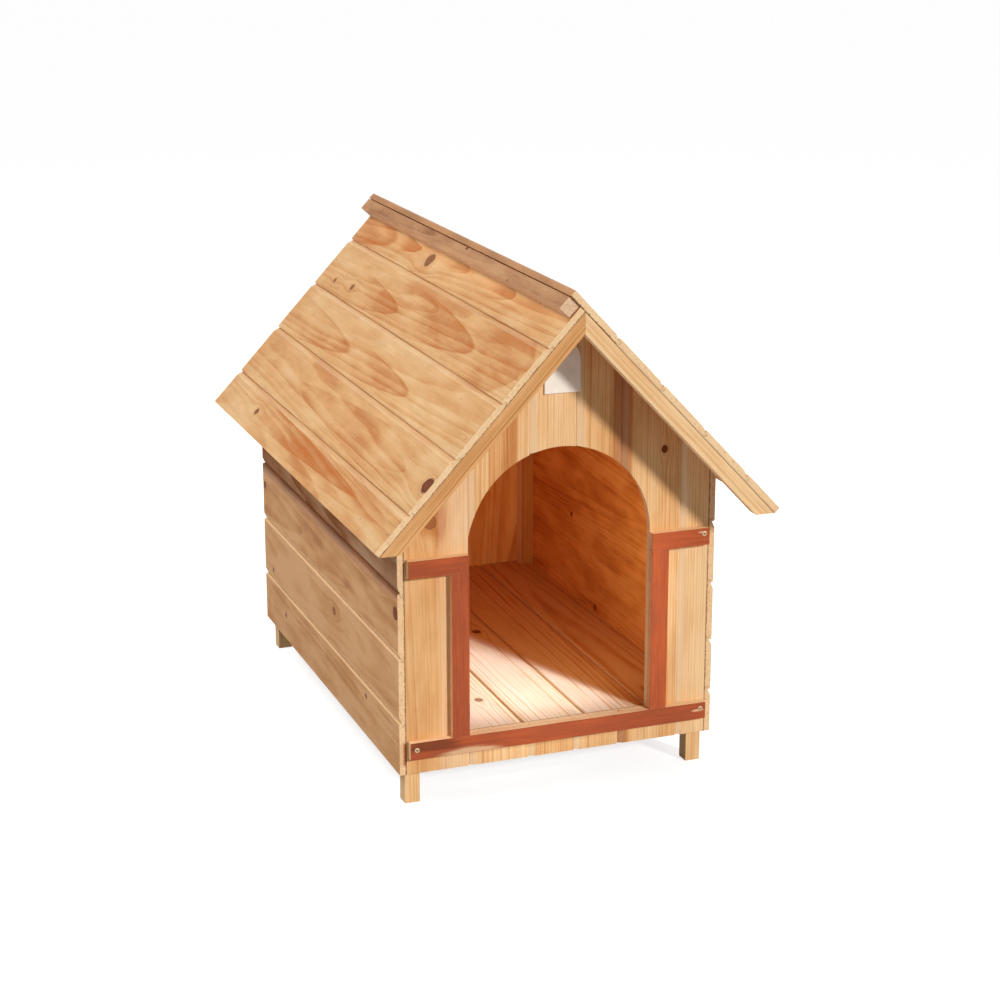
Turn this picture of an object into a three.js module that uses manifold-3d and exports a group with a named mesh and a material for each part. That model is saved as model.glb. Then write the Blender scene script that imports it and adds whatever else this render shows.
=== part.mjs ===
// A dog house of tongue-and-groove matchboard nailed to corner posts: millimetres, +Z up.
// X is its width, -Y its front, and the origin is on the ground under the middle of the roof.

import * as THREE from 'three';
import { mergeVertices } from 'three/addons/utils/BufferGeometryUtils.js';
import Module from 'manifold-3d';

// ---------------------------------------------------------------- driving dimensions

// The cabin, outside its boards.
const bodyWidth = 476;
const bodyDepth = 716;
const wallHeight = 404;
const legHeight = 48;

// The roof.
const roofPitch = 46.75;          // degrees from level
const eaveOverhang = 58;          // past the side wall, measured level
const frontOverhang = 86;
const rearOverhang = 80;
const ridgeLap = 21;              // the right slope's top board runs this far past the ridge line

// Matchboard: the profile that every wall, roof and floor board is cut from.
const boardThickness = 10;
const boardCover = 95;            // from one joint to the next, of a full board
const tongueLength = 4.5;
const tongueThickness = 3;
const tongueBack = 2.6;           // from the board's back to its tongue
const tongueEase = 0.6;           // the chamfer that lets a tongue enter
const tongueClearance = 0.3;      // all round a tongue in its groove
const longChamferWidth = 9;       // the V joint's long side, on the tongue edge
const longChamferDepth = 4;
const shortChamfer = 1.5;         // the V joint's short side, on the groove edge

// Square stock.
const postWidth = 22;
const battenWidth = 20;           // barge, gable and ridge battens, front to back
const battenDepth = 20.5;         // the same, square to the slope
const bearerDepth = 22;

// The doorway.
const doorWidth = 272;
const doorHeight = 403;           // sill to the top of the arch
const doorOffset = 1;             // to the right of the middle
const sillHeight = 50;            // above the bottom of the walls
const archSteps = 48;
const archTipTrim = 20;           // the feather-edged tip beside the arch is cut back by this

// Stained trim round the doorway.
const trimWidth = 25;
const trimThickness = 11;
const trimEndInset = 2.5;         // from the front wall's edge
const leftStileInset = 3;         // from the doorway's left edge
const railDrop = 2;               // from the arch's spring down to the rails' top

// Boards of each panel, from joint to joint. They are ripped in these proportions to fill it.
const leftWallCovers = [77, boardCover, boardCover, boardCover, 42];
const rightWallCovers = [64, 77, 87, 92, 84];
const frontCoversPastDoor = [90, 69, 68, 92, 44];
const rearCovers = [boardCover, boardCover, boardCover, boardCover, 75];
const floorCovers = [83, boardCover, boardCover, boardCover, 87];
const leftRoofCovers = [68, boardCover, boardCover, boardCover, 68];
const rightRoofCovers = [boardCover, boardCover, boardCover, boardCover, 73];

// Clearances.
const gap = 0.3;                  // between any two pieces that touch
const notchClearance = 0.8;       // round a post in the floor's notches
const bargeSetback = 1;           // from the roof boards' ends to the barge's face
const ridgeSetback = 3;           // from the roof boards' ends to the ridge batten's
const cutMargin = 20;             // how far a cutter stands past what it cuts

// ---------------------------------------------------------------- sizes worked out from them

const pitch = THREE.MathUtils.degToRad(roofPitch);
const roofLength = frontOverhang + bodyDepth + rearOverhang;
const roofFront = -roofLength / 2;
const roofRear = roofLength / 2;
const frontFace = roofFront + frontOverhang;
const rearFace = frontFace + bodyDepth;
const frontInside = frontFace + boardThickness;
const rearInside = rearFace - boardThickness;

const outerX = bodyWidth / 2;
const innerX = outerX - boardThickness;
const wallBottom = legHeight;
const wallTop = wallBottom + wallHeight;

// Heights of the roof's planes over the middle of the house, and at any distance from it.
const undersideApex = wallTop + gap / Math.cos(pitch) + outerX * Math.tan(pitch);
const ridgeApex = undersideApex + boardThickness / Math.cos(pitch);
const planeHeight = (apex, x) => apex - Math.abs(x) * Math.tan(pitch);
const wallLineApex = undersideApex - gap / Math.cos(pitch);
const battenTopApex = wallLineApex;
const battenBottomApex = battenTopApex - battenDepth / Math.cos(pitch);
const eaveX = outerX + eaveOverhang;
const slopeLength = eaveX / Math.cos(pitch);
const eaveUndersideHeight = ridgeApex - eaveX * Math.tan(pitch) - boardThickness * Math.cos(pitch);

const postOuterX = innerX - gap;
const postInnerX = postOuterX - postWidth;
const postTop = planeHeight(battenBottomApex, postOuterX) - gap;

const floorTop = wallBottom + sillHeight;
const floorUnderside = floorTop - boardThickness;
const bearerTop = floorUnderside - gap;

const doorLeft = doorOffset - doorWidth / 2;
const doorRight = doorOffset + doorWidth / 2;
const archRadius = doorWidth / 2;
const archSpring = floorTop + doorHeight - archRadius;

// ---------------------------------------------------------------- materials

const finish = (color, roughness) => new THREE.MeshStandardMaterial({ color, roughness, metalness: 0 });
const pine = finish(0xd9a66c, 0.7);
const shadedPine = finish(0xb98757, 0.75);
const squareStock = finish(0xd3a06a, 0.75);
const stain = finish(0xa0492c, 0.6);

// ---------------------------------------------------------------- helpers

const house = new THREE.Group();

function add(name, geometry, material) {
  const mesh = new THREE.Mesh(geometry, material);
  mesh.name = name;
  house.add(mesh);
  return mesh;
}

// A box between two corners.
function block(name, low, high, material) {
  const size = high.map((value, axis) => value - low[axis]);
  const mesh = add(name, new THREE.BoxGeometry(...size), material);
  mesh.position.set(...low.map((value, axis) => value + size[axis] / 2));
  return mesh;
}

// An outline in the XZ plane, pulled from one y to another.
function frontToBack(shape, fromY, toY, curveSegments = 1) {
  const geometry = new THREE.ExtrudeGeometry(shape, {
    depth: toY - fromY, bevelEnabled: false, curveSegments,
  });
  geometry.rotateX(Math.PI / 2);
  geometry.translate(0, toY, 0);
  return geometry;
}

function outline(points) {
  return new THREE.Shape(points.map(([x, y]) => new THREE.Vector2(x, y)));
}

// Joint positions from one end of a panel to the other.
function boardEdges(start, end, covers) {
  const total = covers.reduce((sum, cover) => sum + cover, 0);
  const rip = (end - start) / total;
  const edges = [start];
  for (const cover of covers) edges.push(edges.at(-1) + cover * rip);
  return edges;
}

// One matchboard's section: x from its groove edge to its tongue edge, y from its back to its face.
function boardSection(width, hasGroove, hasTongue) {
  const grooveDepth = tongueLength + tongueClearance;
  const grooveBack = tongueBack - tongueClearance;
  const grooveFace = tongueBack + tongueThickness + tongueClearance;
  const tongueFace = tongueBack + tongueThickness;
  const tip = width + tongueLength;
  const grooveEdge = [
    [0, grooveBack],
    [grooveDepth, grooveBack],
    [grooveDepth, grooveFace],
    [0, grooveFace],
    [0, boardThickness - shortChamfer],
    [shortChamfer, boardThickness],
  ];
  const tongueEdge = [
    [width - longChamferWidth, boardThickness],
    [width, boardThickness - longChamferDepth],
    [width, tongueFace],
    [tip - tongueEase, tongueFace],
    [tip, tongueFace - tongueEase],
    [tip, tongueBack + tongueEase],
    [tip - tongueEase, tongueBack],
    [width, tongueBack],
  ];
  return outline([
    [0, 0],
    ...(hasGroove ? grooveEdge : [[0, boardThickness]]),
    ...(hasTongue ? tongueEdge : [[width, boardThickness]]),
    [width, 0],
  ].reverse());
}

// A panel of matchboards. Joints lie at edges along the unit vector across. The boards run along
// the unit vector along, their faces look along outward, and their tongues point along across
// or, with tongueSide -1, against it. origin is the back of the panel where both runs start.
// A place whose name is null stays empty.
function panel({ names, edges, across, along, outward, origin, length, tongueSide, material }) {
  return names.flatMap((name, i) => {
    if (name === null) return [];
    const low = edges[i] + (i > 0 ? gap / 2 : 0);
    const high = edges[i + 1] - (i < names.length - 1 ? gap / 2 : 0);
    const first = i === 0;
    const last = i === names.length - 1;
    const hasTongue = tongueSide > 0 ? !last : !first;
    const hasGroove = tongueSide > 0 ? !first : !last;
    const section = boardSection(high - low, hasGroove, hasTongue);
    const geometry = new THREE.ExtrudeGeometry(section, { depth: length, bevelEnabled: false });
    const width = across.clone().multiplyScalar(tongueSide);
    const run = new THREE.Vector3().crossVectors(width, outward);
    const mesh = add(name, geometry, material);
    mesh.quaternion.setFromRotationMatrix(new THREE.Matrix4().makeBasis(width, outward, run));
    mesh.position.copy(origin).addScaledVector(across, tongueSide > 0 ? low : high);
    if (run.dot(along) < 0) mesh.position.addScaledVector(along, length);
    return [mesh];
  });
}

const numbered = (stem, count) => Array.from({ length: count }, (_, i) => `${stem}_${i + 1}`);

const wasm = await Module();
wasm.setup();

function toSolid(geometry) {
  const bare = geometry.clone();
  bare.deleteAttribute('normal');
  bare.deleteAttribute('uv');
  const merged = mergeVertices(bare);
  return new wasm.Manifold(new wasm.Mesh({
    numProp: 3,
    vertProperties: new Float32Array(merged.attributes.position.array),
    triVerts: new Uint32Array(merged.index.array),
  }));
}

function toGeometry(solid) {
  const { vertProperties, triVerts } = solid.getMesh();
  const indexed = new THREE.BufferGeometry();
  indexed.setAttribute('position', new THREE.BufferAttribute(vertProperties, 3));
  indexed.setIndex(new THREE.BufferAttribute(triVerts, 1));
  const geometry = indexed.toNonIndexed();
  geometry.computeVertexNormals();
  return geometry;
}

// Takes cutters, given in the house's own frame, out of a mesh that is already in place.
function cut(mesh, cutters) {
  mesh.updateMatrix();
  const toMesh = mesh.matrix.clone().invert();
  const solid = cutters.reduce(
    (rest, cutter) => rest.subtract(toSolid(cutter.clone().applyMatrix4(toMesh))),
    toSolid(mesh.geometry),
  );
  mesh.geometry = toGeometry(solid);
}

const X = new THREE.Vector3(1, 0, 0);
const Y = new THREE.Vector3(0, 1, 0);
const Z = new THREE.Vector3(0, 0, 1);
const at = (x, y, z) => new THREE.Vector3(x, y, z);

// ---------------------------------------------------------------- side walls

function sideWall(side, covers, tongueSide) {
  const edges = boardEdges(wallBottom, wallTop, covers);
  const sign = side === 'left' ? -1 : 1;
  panel({
    names: numbered(`${side}_wall_board`, edges.length - 1),
    edges,
    across: Z,
    along: Y,
    outward: X.clone().multiplyScalar(sign),
    origin: at(sign * innerX, frontFace, 0),
    length: bodyDepth,
    tongueSide,
    material: side === 'left' ? shadedPine : pine,
  });
}

sideWall('left', leftWallCovers, -1);
sideWall('right', rightWallCovers, 1);

// ---------------------------------------------------------------- gable walls

// Everything over the gable's sloping edges.
function gableCutter(lowY, highY) {
  const reach = outerX + cutMargin;
  const top = undersideApex + cutMargin;
  return frontToBack(outline([
    [-reach, planeHeight(wallLineApex, reach)],
    [0, wallLineApex],
    [reach, planeHeight(wallLineApex, reach)],
    [reach, top],
    [-reach, top],
  ].reverse()), lowY, highY);
}

function doorCutter() {
  const shape = new THREE.Shape();
  shape.moveTo(doorLeft, floorTop);
  shape.lineTo(doorRight, floorTop);
  shape.lineTo(doorRight, archSpring);
  shape.absarc(doorOffset, archSpring, archRadius, 0, Math.PI);
  shape.closePath();
  return frontToBack(shape, frontFace - cutMargin, frontInside + cutMargin, archSteps);
}

const wallSpan = innerX - gap;

// Front: the first board ends at the doorway, and the boards crossed by the doorway whole are
// sawn into a piece over the arch and a stub below the sill.
function frontWall() {
  const edges = [-wallSpan, ...boardEdges(doorLeft, wallSpan, frontCoversPastDoor)];
  const names = numbered('front_board', edges.length - 1);
  const sawnThrough = names.map((_, i) => edges[i] >= doorLeft && edges[i + 1] <= doorRight);
  const common = {
    edges,
    across: X,
    along: Z,
    outward: Y.clone().negate(),
    origin: at(0, frontInside, wallBottom),
    tongueSide: -1,
    material: pine,
  };
  panel({
    ...common,
    names: names.map((name, i) => (sawnThrough[i] ? `${name}_stub` : null)),
    length: sillHeight,
  });
  const boards = panel({
    ...common,
    names: names.map((name, i) => (sawnThrough[i] ? `${name}_upper` : name)),
    length: wallLineApex - wallBottom,
  });
  const gableCut = gableCutter(frontFace - cutMargin, frontInside + cutMargin);
  const doorCut = doorCutter();
  const belowUppers = new THREE.BoxGeometry(
    bodyWidth, boardThickness + 2 * cutMargin, archSpring + archTipTrim,
  );
  belowUppers.translate(0, frontInside, (archSpring + archTipTrim) / 2);
  boards.forEach((board) => {
    const upper = board.name.endsWith('_upper');
    cut(board, upper ? [gableCut, doorCut, belowUppers] : [gableCut, doorCut]);
  });
}

frontWall();

function rearWall() {
  const edges = boardEdges(-wallSpan, wallSpan, rearCovers);
  const boards = panel({
    names: numbered('rear_board', edges.length - 1),
    edges,
    across: X,
    along: Z,
    outward: Y,
    origin: at(0, rearInside, wallBottom),
    length: wallLineApex - wallBottom,
    tongueSide: 1,
    material: pine,
  });
  const gableCut = gableCutter(rearInside - cutMargin, rearFace + cutMargin);
  boards.forEach((board) => cut(board, [gableCut]));
}

rearWall();

// ---------------------------------------------------------------- roof

// The left slope's boards stop under the right slope's top board, which laps their upper edge
// and runs on past the ridge line to close the side of the ridge batten.
const leftSlopeStart = boardThickness * Math.tan(pitch) + gap;
const downLeft = at(-Math.cos(pitch), 0, -Math.sin(pitch));
const downRight = at(Math.cos(pitch), 0, -Math.sin(pitch));
const outLeft = at(-Math.sin(pitch), 0, Math.cos(pitch));
const outRight = at(Math.sin(pitch), 0, Math.cos(pitch));

function roofSlope(side, down, outward, start, covers, tongueSide) {
  const edges = boardEdges(start, slopeLength, covers);
  panel({
    names: numbered(`roof_${side}_board`, edges.length - 1),
    edges,
    across: down,
    along: Y,
    outward,
    origin: at(0, roofFront, ridgeApex).addScaledVector(outward, -boardThickness),
    length: roofLength,
    tongueSide,
    material: pine,
  });
}

roofSlope('left', downLeft, outLeft, leftSlopeStart, leftRoofCovers, -1);
roofSlope('right', downRight, outRight, -ridgeLap, rightRoofCovers, 1);

function ridgeBatten() {
  const start = (boardThickness + gap) / Math.sin(2 * pitch);
  const corner = (along, up) => {
    const point = at(0, 0, ridgeApex).addScaledVector(downLeft, along).addScaledVector(outLeft, up);
    return [point.x, point.z];
  };
  const section = outline([
    corner(start, gap),
    corner(start, ridgeLap),
    corner(start + battenWidth, ridgeLap),
    corner(start + battenWidth, gap),
  ]);
  add('ridge_batten', frontToBack(section, roofFront + ridgeSetback, roofRear), squareStock);
}

ridgeBatten();

// A batten under one slope, mitred plumb at the apex. Its lower end is cut level at a height, or
// plumb at a distance from the middle.
function slopeBatten(name, side, fromY, { levelAt, plumbAt }) {
  const tan = Math.tan(pitch);
  const miter = gap / 2;
  const lowerEnd = levelAt === undefined
    ? [[plumbAt, planeHeight(battenBottomApex, plumbAt)], [plumbAt, planeHeight(battenTopApex, plumbAt)]]
    : [[(battenBottomApex - levelAt) / tan, levelAt], [(battenTopApex - levelAt) / tan, levelAt]];
  const points = [
    [miter, planeHeight(battenTopApex, miter)],
    [miter, planeHeight(battenBottomApex, miter)],
    ...lowerEnd,
  ];
  const section = side === 'left' ? points.map(([x, z]) => [-x, z]).reverse() : points;
  add(name, frontToBack(outline(section), fromY, fromY + battenWidth), squareStock);
}

for (const side of ['left', 'right']) {
  const level = { levelAt: eaveUndersideHeight };
  const plumb = { plumbAt: innerX - gap };
  slopeBatten(`barge_front_${side}`, side, roofFront + bargeSetback, level);
  slopeBatten(`barge_rear_${side}`, side, roofRear - bargeSetback - battenWidth, level);
  slopeBatten(`gable_batten_front_${side}`, side, frontInside + gap, plumb);
  slopeBatten(`gable_batten_rear_${side}`, side, rearInside - gap - battenWidth, plumb);
}

// ---------------------------------------------------------------- posts and floor

const frontPostY = frontInside + gap;
const rearPostY = rearInside - gap - postWidth;
const corners = [
  ['front_left', -postOuterX, frontPostY],
  ['front_right', postInnerX, frontPostY],
  ['rear_left', -postOuterX, rearPostY],
  ['rear_right', postInnerX, rearPostY],
];

for (const [place, x, y] of corners) {
  block(`post_${place}`, [x, y, 0], [x + postWidth, y + postWidth, postTop], squareStock);
}

// The outer boards are notched round the posts.
function floor() {
  const edges = boardEdges(-wallSpan, wallSpan, floorCovers);
  const boards = panel({
    names: numbered('floor_board', edges.length - 1),
    edges,
    across: X,
    along: Y,
    outward: Z,
    origin: at(0, frontInside + gap, floorUnderside),
    length: rearInside - frontInside - 2 * gap,
    tongueSide: 1,
    material: pine,
  });
  const notch = postWidth + 2 * notchClearance;
  const notches = corners.map(([, x, y]) => {
    const cutter = new THREE.BoxGeometry(notch, notch, boardThickness + 2 * cutMargin);
    cutter.translate(x + postWidth / 2, y + postWidth / 2, floorUnderside);
    return cutter;
  });
  const outermost = [boards[0], boards.at(-1)];
  outermost.forEach((board) => cut(board, notches));
}

floor();

function bearer(place, halfWidth, fromY) {
  const low = [-halfWidth, fromY, bearerTop - bearerDepth];
  const high = [halfWidth, fromY + postWidth, bearerTop];
  block(`floor_bearer_${place}`, low, high, squareStock);
}

bearer('front', postInnerX - gap, frontPostY);
bearer('middle', innerX - gap, (frontInside + rearInside - postWidth) / 2);
bearer('rear', postInnerX - gap, rearPostY);

// ---------------------------------------------------------------- trim round the doorway

const trimBack = frontFace - gap;
const trimEnd = wallSpan - trimEndInset;
const railTop = archSpring - railDrop;
const railBottom = railTop - trimWidth;
const rightStileX = doorRight;
const leftStileX = doorLeft - leftStileInset;

function trim(name, lowX, highX, lowZ, highZ) {
  block(name, [lowX, trimBack - trimThickness, lowZ], [highX, trimBack, highZ], stain);
}

trim('trim_sill', -trimEnd, trimEnd, floorTop - trimWidth, floorTop);
trim('trim_left_rail', -trimEnd, leftStileX, railBottom, railTop);
trim('trim_right_rail', rightStileX, trimEnd, railBottom, railTop);
trim('trim_left_stile', leftStileX - trimWidth, leftStileX, floorTop + gap, railBottom - gap);
trim('trim_right_stile', rightStileX, rightStileX + trimWidth, floorTop + gap, railBottom - gap);

export default house;
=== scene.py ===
import math
import random

import bmesh
import bpy
from mathutils import Matrix, Vector


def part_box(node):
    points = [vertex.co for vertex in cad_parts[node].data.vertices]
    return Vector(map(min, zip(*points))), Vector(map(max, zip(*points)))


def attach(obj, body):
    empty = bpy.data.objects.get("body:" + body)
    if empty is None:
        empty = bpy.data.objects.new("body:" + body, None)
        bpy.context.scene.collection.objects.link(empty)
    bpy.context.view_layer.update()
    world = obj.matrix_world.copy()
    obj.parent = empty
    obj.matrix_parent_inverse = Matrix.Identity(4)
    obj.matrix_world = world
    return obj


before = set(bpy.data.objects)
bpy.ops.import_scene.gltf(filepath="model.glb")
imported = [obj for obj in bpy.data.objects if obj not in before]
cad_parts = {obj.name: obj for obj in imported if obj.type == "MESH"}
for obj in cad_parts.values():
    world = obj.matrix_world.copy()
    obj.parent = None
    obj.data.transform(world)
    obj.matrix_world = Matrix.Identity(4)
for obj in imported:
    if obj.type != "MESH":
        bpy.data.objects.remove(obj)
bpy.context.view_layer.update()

MM = 0.001

# ---------------------------------------------------------------- sizes, in metres

EDGE_ROUNDING = 0.7 * MM          # on every board and batten
TRIM_ROUNDING = 1.0 * MM

PLATE_WIDTH = 53 * MM
PLATE_THICKNESS = 3 * MM
PLATE_CENTRE_X = 1.7 * MM
PLATE_BOTTOM = 577 * MM
PLATE_EAVES = 621 * MM
PLATE_TOP = 649 * MM
PLATE_SHOULDER = 0.9              # below 1, the round top has full shoulders
PLATE_STEPS = 10                  # in each half of the round top
PLATE_ROUNDING = 0.6 * MM

SCREW_HEAD = 7.5 * MM
NAIL_HEAD = 2.4 * MM

LEG_HEIGHT = 48                   # in millimetres, as all places in a board's own frame

# ---------------------------------------------------------------- light and camera

WHITE = (1, 1, 1, 1)

FLOOR_REACH = 60.0
FLOOR_ALBEDO = 0.5
FLOOR_LIFT = 0.74                 # what the floor adds for the camera, so that it comes out white
FILL = 0.16                       # strength of the white surroundings on the object

AIM = Vector((0, 0, 0.4))         # what the key light and the soft boxes point at

KEY = 2.5
KEY_SOFTNESS = math.radians(7)
KEY_FROM = Vector((0.43, -1.0, 0.5))
KEY_DISTANCE = 3.0

# The soft boxes stand level with the cabin or behind it, so that none shines into the doorway:
# place, diameter and watts.
SOFT_BOXES = [
    (Vector((-1.8, -0.1, 2.6)), 1.6, 52.0),
    (Vector((2.2, 1.2, 1.8)), 1.6, 27.0),
    (Vector((0.9, 2.5, 1.5)), 1.6, 30.0),
]

# A narrow lamp shines through the doorway onto the floor boards.
SNOOT = 265.0
SNOOT_DISTANCE = 3.0
SNOOT_FROM = Vector((0.43, -1.0, 0.75))
SNOOT_RADIUS = 0.07               # of the lamp itself, which softens its shadows
SNOOT_BEAM = 0.135                # radius of the beam in the doorway
SNOOT_BLEND = 0.3                 # share of the beam that fades toward its edge
SNOOT_AIM_X = 0.01                # of the beam's middle in the doorway
SNOOT_HEIGHT = 0.235              # the same, over the ground

# A soft panel just behind the doorway faces into the cabin.
CABIN_FILL = 0.6
CABIN_FILL_SIZE = (0.2, 0.3)
CABIN_FILL_SHIFT = Vector((0, 0.012, 0.08))   # from the middle of the narrow lamp's beam

CAMERA_PLACE = Vector((-1.1287, -3.1399, 1.3135))
CAMERA_YAW = math.radians(20.48)
CAMERA_PITCH = math.radians(16.49)
CAMERA_ROLL = math.radians(-0.07)
CAMERA_FOCAL = 2265.4             # in pixels, as the frame's width
FRAME_WIDTH = 1000
SENSOR = 36.0

# ---------------------------------------------------------------- directions

X = Vector((1, 0, 0))
Y = Vector((0, 1, 0))
Z = Vector((0, 0, 1))


def largest_face_normal(node, toward):
    """The normal of the node's largest flat side among those that face a direction."""
    areas = {}
    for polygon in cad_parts[node].data.polygons:
        if polygon.normal.dot(toward) > 0.3:
            key = tuple(round(value, 3) for value in polygon.normal)
            areas[key] = areas.get(key, 0) + polygon.area
    return Vector(max(areas, key=areas.get)).normalized()


LEFT_SLOPE = largest_face_normal("roof_left_board_2", Z)
RIGHT_SLOPE = largest_face_normal("roof_right_board_2", Z)

# ---------------------------------------------------------------- shader graphs

SHEEN = 0.1                       # bare softwood hardly shines


def linear(red, green, blue):
    """A colour written in 0-255 display values, as the shader wants it."""
    def channel(value):
        value = value / 255
        return value / 12.92 if value <= 0.04045 else ((value + 0.055) / 1.055) ** 2.4
    return channel(red), channel(green), channel(blue), 1


class Graph:
    """The nodes of a new material or of the world, its owner, made one call at a time. Most calls
    return an output socket."""

    def __init__(self, owner):
        owner.use_nodes = True
        self.owner = owner
        self.tree = owner.node_tree
        self.tree.nodes.clear()

    def put(self, socket, value):
        """Links a socket into this one, or sets it to a plain value."""
        if isinstance(value, bpy.types.NodeSocket):
            self.tree.links.new(value, socket)
        else:
            socket.default_value = value

    def node(self, kind, inputs=None, **settings):
        node = self.tree.nodes.new("ShaderNode" + kind)
        for name, value in settings.items():
            setattr(node, name, value)
        for name, value in (inputs or {}).items():
            self.put(node.inputs[name], value)
        return node

    def result(self, kind, inputs):
        """The first output of a new node."""
        return self.node(kind, inputs).outputs[0]

    def place(self):
        return self.node("TexCoord").outputs["Object"]

    def math(self, operation, *values):
        node = self.node("Math", operation=operation)
        for socket, value in zip(node.inputs, values):
            self.put(socket, value)
        return node.outputs[0]

    def add(self, *values):
        return self.chain("ADD", values)

    def times(self, *values):
        return self.chain("MULTIPLY", values)

    def less(self, value, taken):
        return self.math("SUBTRACT", value, taken)

    def chain(self, operation, values):
        result = values[0]
        for value in values[1:]:
            result = self.math(operation, result, value)
        return result

    def vector(self, operation, *values):
        node = self.node("VectorMath", operation=operation)
        for socket, value in zip(node.inputs, values):
            self.put(socket, value)
        return node.outputs["Value" if operation in ("DOT_PRODUCT", "LENGTH") else "Vector"]

    def split(self, vector):
        return list(self.node("SeparateXYZ", {"Vector": vector}).outputs)

    def smooth(self, value, low, high, to_low=0.0, to_high=1.0):
        """to_low below low, to_high above high, and a smooth step between."""
        inputs = {"Value": value, "From Min": low, "From Max": high,
                  "To Min": to_low, "To Max": to_high}
        return self.node("MapRange", inputs, interpolation_type="SMOOTHSTEP").outputs["Result"]

    def near(self, value, middle, reach, blur, most=1.0):
        """most within reach of the middle, and 0 past it, with a border blur wide either way."""
        off = self.math("ABSOLUTE", self.less(value, middle))
        return self.smooth(off, reach - blur, reach + blur, most, 0.0)

    def spread(self, noise, low, high):
        """Noise, which hardly leaves 0.3 to 0.7, spread from low to high."""
        return self.smooth(noise, 0.3, 0.7, low, high)

    def noise(self, place, across, along=None, detail=2.0, roughness=0.5):
        """Noise whose blotches are across wide, and along long where that is given."""
        if along is not None:
            place = self.vector("MULTIPLY", place, (1.0, across / along, 1.0))
        inputs = {"Vector": place, "Scale": 1 / across, "Detail": detail, "Roughness": roughness}
        return self.node("TexNoise", inputs).outputs["Fac"]

    def noise_line(self, value, scale, detail):
        """Noise along one number."""
        inputs = {"W": value, "Scale": scale, "Detail": detail}
        return self.node("TexNoise", inputs, noise_dimensions="1D").outputs["Fac"]

    def mix(self, factor, a, b, blend="MIX"):
        inputs = {"Fac": factor, "Color1": a, "Color2": b}
        return self.node("MixRGB", inputs, blend_type=blend).outputs["Color"]

    def shade(self, color, factor):
        """The colour, lighter or darker by a factor."""
        grey = self.node("CombineColor", {"Red": factor, "Green": factor, "Blue": factor})
        return self.mix(1.0, color, grey.outputs["Color"], "MULTIPLY")

    def ramp(self, factor, stops):
        node = self.node("ValToRGB", {"Fac": factor})
        elements = node.color_ramp.elements
        while len(elements) < len(stops):
            elements.new(0.5)
        for element, (position, color) in zip(elements, stops):
            element.position = position
            element.color = color
        return node.outputs["Color"]

    def surface(self, shader, output="OutputMaterial"):
        self.node(output, {"Surface": shader})
        return self.owner

    def finish(self, color, roughness, height, depth, sheen=SHEEN, metallic=0.0, relief=1.0):
        """The surface shader. A rise of 1 in height is depth metres high, and relief is how much
        of the bump shows."""
        bump = self.result("Bump", {"Strength": relief, "Distance": depth, "Height": height})
        inputs = {"Base Color": color, "Roughness": roughness, "Specular IOR Level": sheen,
                  "Metallic": metallic, "Normal": bump}
        return self.surface(self.result("BsdfPrincipled", inputs))


# ---------------------------------------------------------------- a board's own frame


class Board:
    """A board's frame in millimetres: u across it from the middle, v along its grain from the
    part's origin, and w out of its face, where w is 0."""

    def __init__(self, node, along, outward):
        self.node = node
        self.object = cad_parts[node]
        self.along = along.normalized()
        self.outward = (outward - self.along * outward.dot(self.along)).normalized()
        self.across = self.along.cross(self.outward)
        u0, u1 = self.reach(self.across)
        w0, w1 = self.reach(self.outward)
        self.half_width = (u1 - u0) / 2 / MM
        self.thickness = (w1 - w0) / MM
        self.origin = self.across * (u0 + u1) / 2 + self.outward * w1

    def reach(self, axis):
        reach = [vertex.co.dot(axis) for vertex in self.object.data.vertices]
        return min(reach), max(reach)

    def coordinates(self, graph):
        """Object coordinates turned into u, v, w."""
        turn = Matrix((self.across, self.along, self.outward)).transposed().to_euler()
        inputs = {"Vector": graph.place(), "Location": self.origin, "Rotation": turn,
                  "Scale": (MM, MM, MM)}
        return graph.node("Mapping", inputs, vector_type="TEXTURE").outputs["Vector"]

    def facing(self, graph, axis):
        """How squarely the surface looks along an axis: 1 where it faces it, 0 side-on."""
        normal = graph.node("TexCoord").outputs["Normal"]
        return graph.vector("DOT_PRODUCT", normal, axis)

    def sawn_ends(self, graph):
        """1 on the board's ends, 0 elsewhere."""
        return graph.smooth(graph.math("ABSOLUTE", self.facing(graph, self.along)), 0.5, 0.8)


# ---------------------------------------------------------------- pine


class Look:
    """How one kind of pine stock is coloured. Indoors its colour is multiplied by a tint, a painted
    shade that makes the wood darker and more orange inside the cabin, and its sawn ends and edges
    have a colour of their own. The chamfers of its V joints are painted paler, a painted highlight."""

    def __init__(self, pale, warm, dark, resin, inside=WHITE, sawn=None, contrast=0.4,
                 level=0.22, mottle=0.12, streak=0.10, roughness=0.6, sheen=SHEEN,
                 joint_highlight=0.5, pale_edge=0.6, rounding=EDGE_ROUNDING):
        self.stops = [(0.0, pale), (0.4, warm), (0.75, dark), (1.0, resin)]
        self.dark = dark
        self.inside = inside
        self.sawn = sawn or END_GRAIN
        self.contrast = contrast
        self.level = level
        self.mottle = mottle
        self.streak = streak
        self.roughness = roughness
        self.sheen = sheen
        self.joint_highlight = joint_highlight
        self.pale_edge = pale_edge
        self.rounding = rounding


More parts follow.
